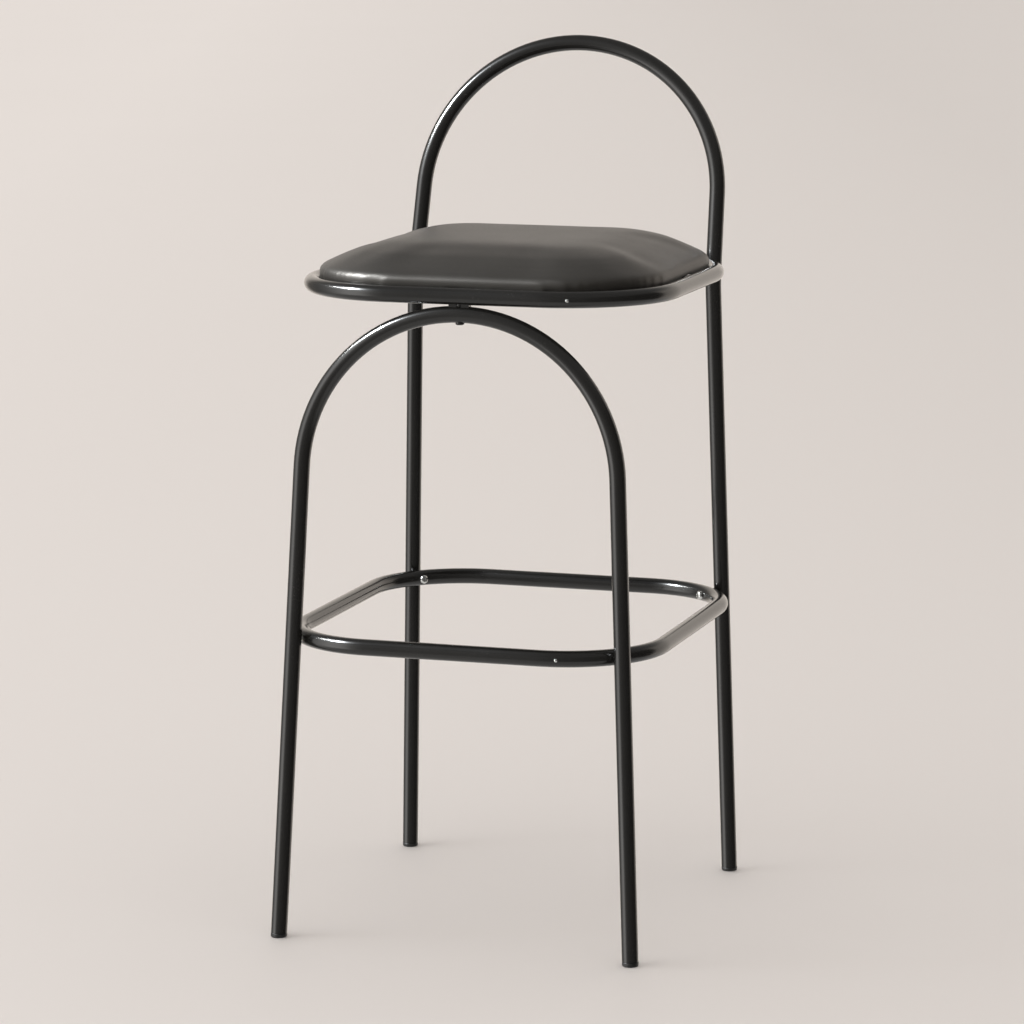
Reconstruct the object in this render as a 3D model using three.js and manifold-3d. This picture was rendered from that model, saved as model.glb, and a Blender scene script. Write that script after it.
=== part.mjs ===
// Bar stool with a footrest: a bent-tube frame of two splayed hoops and two rings, bolted together,
// and an upholstered seat pad that sits inside the upper ring.
// Millimetres, +X to the right seen from the front, +Y towards the back, +Z up. Left and right are
// as seen from the front. The origin is on the floor, under the middle of the stool's outline.

import * as THREE from 'three';
import { mergeVertices } from 'three/addons/utils/BufferGeometryUtils.js';
import Module from 'manifold-3d';

const wasm = await Module();
wasm.setup();

// ---------------------------------------------------------------- driving sizes

const OVERALL_HEIGHT = 1015; // floor to the top of the backrest arch

const TUBE_DIAMETER = 19;
const TUBE_WALL = 1.5;

const BACK_ARCH_RADIUS = 185; // centreline
const BACK_SPLAY = degrees(1.5); // each leg outwards
const BACK_RAKE = degrees(2.15); // legs backwards, below the knee
const BACKREST_LEAN = degrees(14.5); // backwards, above the knee
const KNEE_HEIGHT = 730;
const KNEE_RADIUS = 100;

const FRONT_ARCH_RADIUS = 187.5;
const FRONT_SPLAY = degrees(2.5);
const FRONT_RAKE = degrees(2.5); // legs forwards
const HOOP_SPACING = 399.5; // front crown to back knee, front to back

const SEAT_RING_HEIGHT = 748.5; // centreline above the floor
const SEAT_RING_WIDTH = 427.5; // between centrelines
const SEAT_RING_CORNER = 126;

const FOOT_RING_HEIGHT = 348;
const FOOT_RING_WIDTH = 433;
const FOOT_RING_CORNER = 114;

const JOINT_GAP = 1.2; // between two tubes that are bolted side by side
const TOUCH_GAP = 0.3; // between faces that rest on each other

const GLIDE_SOLE = 5; // under the tube's end
const GLIDE_ROUNDING = 2.5;
const GLIDE_STEM = 18;
const GLIDE_STEM_PLAY = 0.6; // between the stem's ribs and the tube's bore

const BOLT_DIAMETER = 6;
const BOLT_LENGTH = 30;
const BOLT_HEAD_DIAMETER = 10.5;
const BOLT_HEAD_HEIGHT = 3.3;
const SOCKET_ACROSS_FLATS = 4;
const SOCKET_DEPTH = 2;
const BOLT_CLEARANCE = 0.4; // radial, in a plain hole
const BOLT_HEAD_GAP = 0.8; // to the tube's side, because the inside of a corner curves towards the head
const THREAD_CLEARANCE = 0.15; // radial, in a nut's bore

const RIVET_NUT_BODY = 8.8; // diameter
const RIVET_NUT_FLANGE = 10;
const RIVET_NUT_FLANGE_THICKNESS = 0.5;
const RIVET_NUT_BULGE = 10.6;
const RIVET_NUT_BULGE_LENGTH = 2.5;
const RIVET_NUT_LENGTH = 12;
const RIVET_NUT_CLEARANCE = 0.2; // radial, in its hole
const RIVET_NUT_PLAY = 1.5; // behind the wall, for a leg that leans

const VENT_DIAMETER = 3;
const VENT_OFFSET = 124; // to one side of the ring's middle, on its front
const VENT_PLUG_HEAD = 4;
const VENT_PLUG_DOME = 0.9;
const VENT_PLUG_BARB = 2; // stem behind the wall
const VENT_PLUG_CLEARANCE = 0.2; // radial

const SEAT_RISE = 36; // height of the pad's rounded edge
const SEAT_ROLL = 66; // width of the pad's rounded edge
const SEAT_SKIRT = 5; // upright side of the pad, under the rounded edge
const SEAT_SIDE_GAP = 1; // between the pad and the ring
const BOARD_THICKNESS = 12;
const BOARD_INSET = 4; // behind the foam's edge
const COVER_THICKNESS = 1.2;
const COVER_HEM = 22; // turned in under the board
const DUST_CLOTH_THICKNESS = 0.6;
const DUST_CLOTH_INSET = 8;

const TAB_THICKNESS = 3;
const TAB_WIDTH = 28;
const TAB_HOLE_INSET = 33; // screw hole to the pad's edge
const TAB_RISE = 6.8; // top face above the ring's centreline
const SCREW_LENGTH = 14;
const SCREW_HEAD_DIAMETER = 11;
const SCREW_HEAD_HEIGHT = 3;
const T_NUT_BARREL = 7.8;
const T_NUT_FLANGE = 17;
const T_NUT_FLANGE_THICKNESS = 1.2;
const T_NUT_SHY = 1; // barrel's end above the board's underside
const DRILL_REACH = 50;

// ---------------------------------------------------------------- mesh fineness

const TUBE_SIDES = 12;
const BORE_SIDES = 8;
const FRONT_BORE_SIDES = 10; // finer, which keeps the collision pieces of its arch close to the tube
const ARCH_STEPS = 10; // half an arch
const KNEE_STEPS = 4;
const CORNER_STEPS = 8; // a ring's corner
const SMALL_SIDES = 8; // fasteners and holes
const PAD_CORNER_SEGMENTS = CORNER_STEPS / 2;
const PAD_ROLL_SEGMENTS = 4;

// ---------------------------------------------------------------- worked-out sizes

const TUBE_RADIUS = TUBE_DIAMETER / 2;
const BORE_RADIUS = TUBE_RADIUS - TUBE_WALL;
const BORE_FLAT = BORE_RADIUS * Math.cos(Math.PI / BORE_SIDES); // middle of a side of the bore
const SIDE_BY_SIDE = TUBE_DIAMETER + JOINT_GAP; // centre to centre of two bolted tubes
const FRONT_CROWN_HEIGHT = SEAT_RING_HEIGHT - SIDE_BY_SIDE;
const BOLT_HOLE_RADIUS = BOLT_DIAMETER / 2 + BOLT_CLEARANCE;
const NUT_HOLE_RADIUS = RIVET_NUT_BODY / 2 + RIVET_NUT_CLEARANCE;

const TAB_TOP = SEAT_RING_HEIGHT + TAB_RISE;
const DUST_CLOTH_BOTTOM = TAB_TOP + TOUCH_GAP;
const COVER_BOTTOM = DUST_CLOTH_BOTTOM + DUST_CLOTH_THICKNESS + TOUCH_GAP;
const BOARD_BOTTOM = COVER_BOTTOM + COVER_THICKNESS + TOUCH_GAP;
const FOAM_BOTTOM = BOARD_BOTTOM + BOARD_THICKNESS + TOUCH_GAP;

// ---------------------------------------------------------------- materials

const paint = new THREE.MeshStandardMaterial({ color: 0x1b1a19, roughness: 0.22, metalness: 0.1 });
const steel = new THREE.MeshStandardMaterial({ color: 0xb9b8b4, roughness: 0.3, metalness: 1 });
const plastic = new THREE.MeshStandardMaterial({ color: 0x121212, roughness: 0.6, metalness: 0 });
const leather = new THREE.MeshStandardMaterial({ color: 0x3a3733, roughness: 0.45, metalness: 0 });
const foam = new THREE.MeshStandardMaterial({ color: 0xe6dfc4, roughness: 0.95, metalness: 0 });
const plywood = new THREE.MeshStandardMaterial({ color: 0xc49a66, roughness: 0.7, metalness: 0 });
const cloth = new THREE.MeshStandardMaterial({ color: 0x1d1d1e, roughness: 0.95, metalness: 0 });

// ---------------------------------------------------------------- helpers

function degrees(angle) {
  return THREE.MathUtils.degToRad(angle);
}

function vector(x, y, z) {
  return new THREE.Vector3(x, y, z);
}

// A tube's centreline, laid down the way a tube bender works: straights and bends, one after another.
class TubeRun extends THREE.Curve {
  constructor(start, heading) {
    super();
    this.points = [start.clone()];
    this.headings = [heading.clone().normalize()];
  }

  get end() {
    return this.points.at(-1);
  }

  get heading() {
    return this.headings.at(-1);
  }

  straight(length) {
    this.headings.push(this.heading.clone());
    this.points.push(this.end.clone().addScaledVector(this.heading, length));
    return this;
  }

  bend(axis, angle, radius, steps) {
    const centre = axis.clone().cross(this.heading).multiplyScalar(radius).add(this.end);
    const spoke = this.end.clone().sub(centre);
    const start = this.heading.clone();
    for (let i = 1; i <= steps; i++) {
      const turned = (angle * i) / steps;
      this.points.push(spoke.clone().applyAxisAngle(axis, turned).add(centre));
      this.headings.push(start.clone().applyAxisAngle(axis, turned));
    }
    return this;
  }

  // Straight towards a corner point, then round it onto a new heading.
  corner(point, heading, radius, steps) {
    const axis = this.heading.clone().cross(heading).normalize();
    const angle = this.heading.angleTo(heading);
    const setback = radius * Math.tan(angle / 2);
    return this.straight(this.end.distanceTo(point) - setback).bend(axis, angle, radius, steps);
  }

  downTo(height) {
    return this.straight((this.end.z - height) / -this.heading.z);
  }

  // This run, which starts at a crown, with its mirror image in front of it.
  mirrored() {
    const whole = new TubeRun(this.end, this.heading);
    const back = this.points.map((p) => vector(-p.x, p.y, p.z)).reverse();
    const backHeadings = this.headings.map((h) => vector(h.x, -h.y, -h.z)).reverse();
    whole.points = [...back, ...this.points.slice(1)];
    whole.headings = [...backHeadings, ...this.headings.slice(1)];
    return whole;
  }

  // The same run with both ends carried on, for a cutter that has to come out at them.
  overrun(length) {
    const longer = new TubeRun(this.end, this.heading);
    const first = this.points[0].clone().addScaledVector(this.headings[0], -length);
    const last = this.end.clone().addScaledVector(this.heading, length);
    longer.points = [first, ...this.points.slice(1, -1), last];
    longer.headings = this.headings;
    return longer;
  }

  // Where the run's +X leg passes a height, and which way it goes down there.
  legAt(height) {
    const i = this.points.findIndex((p, k) => p.x > 0 && p.z <= height && this.points[k - 1].z > height);
    const above = this.points[i - 1];
    const below = this.points[i];
    const point = above.clone().lerp(below, (above.z - height) / (above.z - below.z));
    return { point, down: below.clone().sub(above).normalize() };
  }

  station(list, u, target = new THREE.Vector3()) {
    return target.copy(list[Math.round(u * (list.length - 1))]);
  }

  getPointAt(u, target) {
    return this.station(this.points, u, target);
  }

  getTangentAt(u, target) {
    return this.station(this.headings, u, target);
  }
}

function circle(radius) {
  return new THREE.Shape().absarc(0, 0, radius, 0, 2 * Math.PI);
}

function sweep(run, radius, sides) {
  const steps = run.points.length - 1;
  return new THREE.ExtrudeGeometry(circle(radius), { steps, extrudePath: run, curveSegments: sides / 2 });
}

// A closed mesh as a solid that can be cut and joined.
function solid(geometry) {
  const bare = geometry.index ? geometry.toNonIndexed() : geometry.clone();
  for (const name of Object.keys(bare.attributes)) if (name !== 'position') bare.deleteAttribute(name);
  const merged = mergeVertices(bare, 1e-4);
  const vertProperties = merged.attributes.position.array;
  return new wasm.Manifold(new wasm.Mesh({ numProp: 3, vertProperties, triVerts: merged.index.array }));
}

// A ring's sweep meets itself, so its two end lids are left out.
function ringSolid(run, radius, sides) {
  const swept = sweep(run, radius, sides);
  const walls = swept.groups.find((group) => group.materialIndex === 1);
  const open = new THREE.BufferGeometry();
  const xyz = swept.attributes.position.array.slice(walls.start * 3, (walls.start + walls.count) * 3);
  open.setAttribute('position', new THREE.BufferAttribute(xyz, 3));
  return solid(open);
}

function geometry(shape) {
  const mesh = shape.getMesh();
  const made = new THREE.BufferGeometry();
  made.setAttribute('position', new THREE.BufferAttribute(new Float32Array(mesh.vertProperties), 3));
  made.setIndex(new THREE.BufferAttribute(new Uint32Array(mesh.triVerts), 1));
  const faceted = made.toNonIndexed();
  faceted.computeVertexNormals();
  return faceted;
}

// Turns a piece made along +Z at the origin to lie along a direction, from a point.
function aim(made, from, direction) {
  const turn = new THREE.Quaternion().setFromUnitVectors(vector(0, 0, 1), direction.clone().normalize());
  return made.applyQuaternion(turn).translate(from.x, from.y, from.z);
}

// A solid of revolution about +Z from a closed outline of [radius, height] points.
function turned(outline, sides = SMALL_SIDES) {
  const points = outline.map(([r, z]) => new THREE.Vector2(r, z));
  return new THREE.LatheGeometry([...points, points[0]], sides).rotateX(Math.PI / 2);
}

function rod(from, direction, length, radius, sides = SMALL_SIDES) {
  return solid(aim(turned([[0, 0], [radius, 0], [radius, length], [0, length]], sides), from, direction));
}

function box(width, depth, height, x, y, z) {
  return solid(new THREE.BoxGeometry(width, depth, height).translate(x, y, z));
}

const stool = new THREE.Group();

function add(name, shape, material) {
  const made = shape.isBufferGeometry ? shape : geometry(shape);
  const mesh = new THREE.Mesh(made, material);
  mesh.name = name;
  stool.add(mesh);
}

// ---------------------------------------------------------------- hoops

const X = vector(1, 0, 0);
const FORWARD = vector(0, -1, 0);
const UP = vector(0, 0, 1);

// The direction of a +X leg going down, in a plane that tips towards +Y by tip.
function legHeading(splay, tip) {
  return vector(Math.tan(splay), Math.sin(tip), -Math.cos(tip)).normalize();
}

function archHalf(crown, splay, tip, radius) {
  const normal = X.clone().cross(legHeading(0, tip)).normalize();
  return new TubeRun(crown, X).bend(normal, Math.PI / 2 - splay, radius, ARCH_STEPS);
}

const frontCrown = vector(0, 0, FRONT_CROWN_HEIGHT);
const frontHalf = archHalf(frontCrown, FRONT_SPLAY, -FRONT_RAKE, FRONT_ARCH_RADIUS).downTo(GLIDE_SOLE);
const frontRun = frontHalf.mirrored();

const backrestRise = OVERALL_HEIGHT - TUBE_RADIUS - KNEE_HEIGHT;
const backCrownY = HOOP_SPACING + backrestRise * Math.tan(BACKREST_LEAN);
const backCrown = vector(0, backCrownY, KNEE_HEIGHT + backrestRise);
const backArch = archHalf(backCrown, BACK_SPLAY, -BACKREST_LEAN, BACK_ARCH_RADIUS);
const kneeDistance = (backArch.end.z - KNEE_HEIGHT) / -backArch.heading.z;
const knee = backArch.end.clone().addScaledVector(backArch.heading, kneeDistance);
const backHalf = backArch
  .corner(knee, legHeading(BACK_SPLAY, BACK_RAKE), KNEE_RADIUS, KNEE_STEPS)
  .downTo(GLIDE_SOLE);
const backRun = backHalf.mirrored();

// ---------------------------------------------------------------- rings

// The ring corner that a leg nestles against from outside: its centre, the point of the ring's centreline
// nearest to the leg, and the direction from there that meets the leg squarely.
function cornerBy(leg, width, corner, side) {
  const reach = corner + SIDE_BY_SIDE;
  const centreX = width / 2 - corner;
  const away = vector((leg.point.x - centreX) / reach, 0, 0);
  away.y = side * Math.sqrt(1 - away.x ** 2);
  const centre = leg.point.clone().addScaledVector(away, -reach);
  const at = centre.clone().addScaledVector(away, corner);
  const square = away.clone().addScaledVector(UP, away.dot(leg.down) / -leg.down.z).normalize();
  return { centre, at, square };
}

function ringRun(width, corner, front, back, height) {
  const across = width - 2 * corner;
  const along = back - front - 2 * corner;
  const run = new TubeRun(vector(0, front, height), X).straight(across / 2);
  for (const length of [along, across, along]) {
    run.bend(UP, Math.PI / 2, corner, CORNER_STEPS).straight(length);
  }
  return run.bend(UP, Math.PI / 2, corner, CORNER_STEPS).straight(across / 2);
}

const footFront = cornerBy(frontRun.legAt(FOOT_RING_HEIGHT), FOOT_RING_WIDTH, FOOT_RING_CORNER, -1);
const footBack = cornerBy(backRun.legAt(FOOT_RING_HEIGHT), FOOT_RING_WIDTH, FOOT_RING_CORNER, 1);
const footRingFront = footFront.centre.y - FOOT_RING_CORNER;
const footRingBack = footBack.centre.y + FOOT_RING_CORNER;
const footRun = ringRun(FOOT_RING_WIDTH, FOOT_RING_CORNER, footRingFront, footRingBack, FOOT_RING_HEIGHT);

const seatBack = cornerBy(backRun.legAt(SEAT_RING_HEIGHT), SEAT_RING_WIDTH, SEAT_RING_CORNER, 1);
const seatRingFront = frontCrown.y;
const seatRingBack = seatBack.centre.y + SEAT_RING_CORNER;
const seatRun = ringRun(SEAT_RING_WIDTH, SEAT_RING_CORNER, seatRingFront, seatRingBack, SEAT_RING_HEIGHT);
const seatMiddle = (seatRingFront + seatRingBack) / 2;
const seatDepth = seatRingBack - seatRingFront;

// ---------------------------------------------------------------- bolted joints

// Each joint starts at the centre of the tube that the bolt passes through and points at the tube
// with the nut.
function cornerJoints(label, { at, square }) {
  return [['right', 1], ['left', -1]].map(([side, sign]) => ({
    name: label + '_' + side,
    at: vector(sign * at.x, at.y, at.z),
    towards: vector(sign * square.x, square.y, square.z),
  }));
}

const footFrontJoints = cornerJoints('foot_ring_front', footFront);
const footBackJoints = cornerJoints('foot_ring_back', footBack);
const seatBackJoints = cornerJoints('seat_ring_back', seatBack);
const crownJoint = { name: 'front_crown', at: frontCrown, towards: UP };

function boltHole(joint) {
  const start = joint.at.clone().addScaledVector(joint.towards, -TUBE_DIAMETER);
  return rod(start, joint.towards, 2 * TUBE_DIAMETER, BOLT_HOLE_RADIUS);
}

function nutHole(joint) {
  return rod(joint.at, joint.towards, SIDE_BY_SIDE, NUT_HOLE_RADIUS);
}

// A button head with a hexagon socket, then the shank along +Z from the head's underside.
function socketScrew(diameter, length, headDiameter, headHeight) {
  const head = headDiameter / 2;
  const shank = diameter / 2;
  const outline = [[0, -headHeight], [head * 0.55, -headHeight], [head * 0.88, -headHeight * 0.6], [head, 0]];
  const body = turned([...outline, [shank, 0], [shank, length - 1], [shank - 1, length], [0, length]]);
  const socketRadius = SOCKET_ACROSS_FLATS / Math.sqrt(3);
  const socket = rod(vector(0, 0, -headHeight - 1), UP, SOCKET_DEPTH + 1, socketRadius, 6);
  return solid(body).subtract(socket);
}

function addBolt(joint, finish) {
  const start = joint.at.clone().addScaledVector(joint.towards, -TUBE_RADIUS - BOLT_HEAD_GAP);
  const bolt = geometry(socketScrew(BOLT_DIAMETER, BOLT_LENGTH, BOLT_HEAD_DIAMETER, BOLT_HEAD_HEIGHT));
  add(joint.name + '_bolt', aim(bolt, start, joint.towards), finish);
}

// A blind rivet nut: a thin flange outside the wall, and a collar that has bulged behind it.
function addRivetNut(joint, finish) {
  const bore = BOLT_DIAMETER / 2 + THREAD_CLEARANCE;
  const body = RIVET_NUT_BODY / 2;
  const flange = RIVET_NUT_FLANGE / 2;
  const bulge = RIVET_NUT_BULGE / 2;
  const wallBack = JOINT_GAP + TUBE_RADIUS - Math.sqrt(BORE_FLAT ** 2 - bulge ** 2) + RIVET_NUT_PLAY;
  const outline = [
    [bore, 0], [flange, 0], [flange, RIVET_NUT_FLANGE_THICKNESS], [body, RIVET_NUT_FLANGE_THICKNESS],
    [body, wallBack], [bulge, wallBack], [bulge, wallBack + RIVET_NUT_BULGE_LENGTH],
    [body, wallBack + RIVET_NUT_BULGE_LENGTH], [body, RIVET_NUT_LENGTH], [bore, RIVET_NUT_LENGTH],
  ];
  const start = joint.at.clone().addScaledVector(joint.towards, TUBE_RADIUS + TOUCH_GAP);
  add(joint.name + '_rivet_nut', aim(turned(outline), start, joint.towards), finish);
}

// ---------------------------------------------------------------- tubes

function cut(shape, cutters) {
  return cutters.reduce((left, cutter) => left.subtract(cutter), shape);
}

function hoopTube(run, boreSides) {
  const bore = sweep(run.overrun(TUBE_RADIUS), BORE_RADIUS, boreSides);
  return solid(sweep(run, TUBE_RADIUS, TUBE_SIDES)).subtract(solid(bore));
}

function ringTube(run) {
  return ringSolid(run, TUBE_RADIUS, TUBE_SIDES).subtract(ringSolid(run, BORE_RADIUS, BORE_SIDES));
}

// The vent hole on a ring's front, at the tube's mid-height; it lies just inside the bend.
function ventAt(run, width, corner) {
  const start = vector(width / 2 - corner, run.points[0].y + corner, run.points[0].z);
  const turnedBy = Math.asin((VENT_OFFSET - start.x) / corner);
  const away = vector(Math.sin(turnedBy), -Math.cos(turnedBy), 0);
  return { at: start.addScaledVector(away, corner), towards: away };
}

const seatVent = ventAt(seatRun, SEAT_RING_WIDTH, SEAT_RING_CORNER);
const footVent = ventAt(footRun, FOOT_RING_WIDTH, FOOT_RING_CORNER);

function ventHole(vent) {
  return rod(vent.at, vent.towards, TUBE_DIAMETER, VENT_DIAMETER / 2);
}

function addVentPlug(name, vent) {
  const stem = VENT_DIAMETER / 2 - VENT_PLUG_CLEARANCE;
  const head = VENT_PLUG_HEAD / 2;
  const length = TUBE_WALL + VENT_PLUG_BARB;
  const dome = length + VENT_PLUG_DOME;
  const outline = [[0, 0], [stem, 0], [stem, length], [head, length], [head * 0.7, dome * 0.95], [0, dome]];
  const start = vent.at.clone().addScaledVector(vent.towards, TUBE_RADIUS + TOUCH_GAP - length);
  add(name, aim(turned(outline), start, vent.towards), steel);
}

const frontHoopCuts = [...footFrontJoints.map(nutHole), boltHole(crownJoint)];
add('front_leg_hoop', cut(hoopTube(frontRun, FRONT_BORE_SIDES), frontHoopCuts), paint);
const backHoopCuts = [...footBackJoints, ...seatBackJoints].map(nutHole);
add('back_leg_hoop', cut(hoopTube(backRun, BORE_SIDES), backHoopCuts), paint);
const seatRingCuts = [...seatBackJoints.map(boltHole), nutHole(crownJoint), ventHole(seatVent)];
add('seat_ring', cut(ringTube(seatRun), seatRingCuts), paint);
const footRingCuts = [...[...footFrontJoints, ...footBackJoints].map(boltHole), ventHole(footVent)];
add('foot_ring', cut(ringTube(footRun), footRingCuts), paint);

for (const joint of [...footFrontJoints, ...footBackJoints, ...seatBackJoints, crownJoint]) {
  const finish = joint === crownJoint ? paint : steel; // the crown's screw and nut are blacked like the frame
  addBolt(joint, finish);
  addRivetNut(joint, finish);
}
addVentPlug('seat_ring_vent_plug', seatVent);
addVentPlug('foot_ring_vent_plug', footVent);

// ---------------------------------------------------------------- glides

// A ribbed stem up the tube and a sole under it, trimmed level with the floor.
function addGlide(name, run, side) {
  const foot = vector(side * run.end.x, run.end.y, run.end.z);
  const down = vector(side * run.heading.x, run.heading.y, run.heading.z);
  const stem = BORE_FLAT - GLIDE_STEM_PLAY;
  const rib = stem + GLIDE_STEM_PLAY / 2;
  const long = 2 * GLIDE_SOLE;
  const outline = [
    [0, -GLIDE_STEM], [stem - 1, -GLIDE_STEM], [stem, 1 - GLIDE_STEM],
    [stem, -GLIDE_STEM * 0.6], [rib, -GLIDE_STEM * 0.5], [stem, -GLIDE_STEM * 0.4],
    [stem, TOUCH_GAP], [TUBE_RADIUS, TOUCH_GAP], [TUBE_RADIUS, long], [0, long],
  ];
  const blank = solid(aim(turned(outline, TUBE_SIDES), foot, down));
  const level = vector(foot.x + (down.x * GLIDE_SOLE) / -down.z, foot.y + (down.y * GLIDE_SOLE) / -down.z, 0);
  const cup = [
    [0, 0], [TUBE_RADIUS - GLIDE_ROUNDING, 0], [TUBE_RADIUS - GLIDE_ROUNDING * 0.3, GLIDE_ROUNDING * 0.3],
    [TUBE_RADIUS, GLIDE_ROUNDING], [2 * TUBE_DIAMETER, GLIDE_ROUNDING], [2 * TUBE_DIAMETER, 3 * GLIDE_STEM],
    [0, 3 * GLIDE_STEM],
  ];
  add(name, blank.intersect(solid(turned(cup, TUBE_SIDES).translate(level.x, level.y, 0))), plastic);
}

addGlide('glide_front_right', frontHalf, 1);
addGlide('glide_front_left', frontHalf, -1);
addGlide('glide_back_right', backHalf, 1);
addGlide('glide_back_left', backHalf, -1);

// ---------------------------------------------------------------- seat

// The seat's outline, drawn in from the ring's centreline by an inset.
function seatOutline(inset) {
  const halfX = SEAT_RING_WIDTH / 2 - inset;
  const halfY = seatDepth / 2 - inset;
  const corner = SEAT_RING_CORNER - inset;
  const outline = new THREE.Shape();
  outline.moveTo(halfX, corner - halfY);
  outline.absarc(halfX - corner, halfY - corner, corner, 0, Math.PI / 2);
  outline.absarc(corner - halfX, halfY - corner, corner, Math.PI / 2, Math.PI);
  outline.absarc(corner - halfX, corner - halfY, corner, Math.PI, 1.5 * Math.PI);
  outline.absarc(halfX - corner, corner - halfY, corner, 1.5 * Math.PI, 2 * Math.PI);
  return outline;
}

function seatSlab(inset, bottom, thickness) {
  const options = { depth: thickness, bevelEnabled: false, curveSegments: PAD_CORNER_SEGMENTS };
  return solid(new THREE.ExtrudeGeometry(seatOutline(inset), options).translate(0, seatMiddle, bottom));
}

// A pad with an upright side and a rounded top edge; everything under its bottom is cut away.
function seatPad(inset, bottom, skirtTop, rise) {
  const options = {
    depth: skirtTop - bottom,
    bevelThickness: rise,
    bevelSize: SEAT_ROLL,
    bevelOffset: -SEAT_ROLL,
    bevelSegments: PAD_ROLL_SEGMENTS,
    curveSegments: PAD_CORNER_SEGMENTS,
  };
  const pillow = new THREE.ExtrudeGeometry(seatOutline(inset), options).translate(0, seatMiddle, bottom);
  const size = 2 * (SEAT_RING_WIDTH + seatDepth);
  return solid(pillow).subtract(box(size, size, size, 0, seatMiddle, bottom - size / 2));
}

const padInset = TUBE_RADIUS + SEAT_SIDE_GAP;
const coreInset = padInset + COVER_THICKNESS + TOUCH_GAP;
const skirtTop = COVER_BOTTOM + SEAT_SKIRT;

// Where the seat is screwed down: the middle of each side of the ring.
const tabReach = padInset + TAB_HOLE_INSET; // screw hole to the ring's centreline
const tabs = [
  { side: 'front', out: vector(0, -1, 0), ring: vector(0, seatRingFront, 0) },
  { side: 'back', out: vector(0, 1, 0), ring: vector(0, seatRingBack, 0) },
  { side: 'left', out: vector(-1, 0, 0), ring: vector(-SEAT_RING_WIDTH / 2, seatMiddle, 0) },
  { side: 'right', out: vector(1, 0, 0), ring: vector(SEAT_RING_WIDTH / 2, seatMiddle, 0) },
];
for (const tab of tabs) tab.hole = tab.ring.clone().addScaledVector(tab.out, -tabReach);

// A drill down through everything at a tab's screw hole.
function tabDrill(tab, radius) {
  return rod(vector(tab.hole.x, tab.hole.y, TAB_TOP - DRILL_REACH), UP, 2 * DRILL_REACH, radius);
}

function throughSeat(radius) {
  return tabs.map((tab) => tabDrill(tab, radius));
}

// The board's holes take a T-nut's barrel, and a shallow seat on top takes its flange.
function boardHoles() {
  const floor = BOARD_BOTTOM + BOARD_THICKNESS - T_NUT_FLANGE_THICKNESS - TOUCH_GAP;
  const seats = tabs.map((tab) => {
    const from = vector(tab.hole.x, tab.hole.y, floor);
    return rod(from, UP, BOARD_THICKNESS, T_NUT_FLANGE / 2 + TOUCH_GAP);
  });
  return [...throughSeat(T_NUT_BARREL / 2 + TOUCH_GAP), ...seats];
}

const board = seatSlab(coreInset + BOARD_INSET, BOARD_BOTTOM, BOARD_THICKNESS);
add('seat_board', cut(board, boardHoles()), plywood);

const foamRise = SEAT_RISE - COVER_THICKNESS - TOUCH_GAP;
add('seat_foam', seatPad(coreInset, FOAM_BOTTOM, skirtTop, foamRise), foam);

const coverOuter = seatPad(padInset, COVER_BOTTOM, skirtTop, SEAT_RISE);
const hollowInset = padInset + COVER_THICKNESS;
const hollowBottom = COVER_BOTTOM + COVER_THICKNESS;
const coverInner = seatPad(hollowInset, hollowBottom, skirtTop, SEAT_RISE - COVER_THICKNESS);
const hemOpening = seatSlab(padInset + COVER_HEM, COVER_BOTTOM - 1, COVER_THICKNESS + 2);
add('seat_cover', coverOuter.subtract(coverInner).subtract(hemOpening), leather);

const dustCloth = seatSlab(padInset + DUST_CLOTH_INSET, DUST_CLOTH_BOTTOM, DUST_CLOTH_THICKNESS);
add('seat_dust_cloth', cut(dustCloth, throughSeat(BOLT_HOLE_RADIUS)), cloth);

// ---------------------------------------------------------------- seat fixings

const ringKeepOut = ringSolid(seatRun, TUBE_RADIUS + TOUCH_GAP, TUBE_SIDES);

function addTab(tab) {
  const length = tabReach + TAB_WIDTH / 2;
  const middle = tab.ring.clone().addScaledVector(tab.out, -length / 2);
  const along = Math.abs(tab.out.x) > 0;
  const z = TAB_TOP - TAB_THICKNESS / 2;
  const width = along ? length : TAB_WIDTH;
  const depth = along ? TAB_WIDTH : length;
  const plate = box(width, depth, TAB_THICKNESS, middle.x, middle.y, z);
  add('seat_tab_' + tab.side, plate.subtract(tabDrill(tab, BOLT_HOLE_RADIUS)).subtract(ringKeepOut), paint);
}

function addSeatScrew(tab) {
  const start = vector(tab.hole.x, tab.hole.y, TAB_TOP - TAB_THICKNESS - TOUCH_GAP);
  const screw = geometry(socketScrew(BOLT_DIAMETER, SCREW_LENGTH, SCREW_HEAD_DIAMETER, SCREW_HEAD_HEIGHT));
  add('seat_screw_' + tab.side, aim(screw, start, UP), steel);
}

function addTNut(tab) {
  const bore = BOLT_DIAMETER / 2 + THREAD_CLEARANCE;
  const barrel = T_NUT_BARREL / 2;
  const flange = T_NUT_FLANGE / 2;
  const drop = BOARD_THICKNESS - T_NUT_FLANGE_THICKNESS - T_NUT_SHY;
  const outline = [[bore, -drop], [barrel, -drop], [barrel, 0], [flange, 0], [flange, T_NUT_FLANGE_THICKNESS],
    [bore, T_NUT_FLANGE_THICKNESS]];
  const z = BOARD_BOTTOM + BOARD_THICKNESS - T_NUT_FLANGE_THICKNESS;
  add('seat_t_nut_' + tab.side, turned(outline).translate(tab.hole.x, tab.hole.y, z), steel);
}

for (const tab of tabs) {
  addTab(tab);
  addSeatScrew(tab);
  addTNut(tab);
}

// ---------------------------------------------------------------- place the origin

const outline = new THREE.Box3().setFromObject(stool);
stool.position.set(0, -(outline.min.y + outline.max.y) / 2, -outline.min.z);

export default stool;
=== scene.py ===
import math
import random

import bmesh
import bpy
from mathutils import Matrix, Vector


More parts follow.
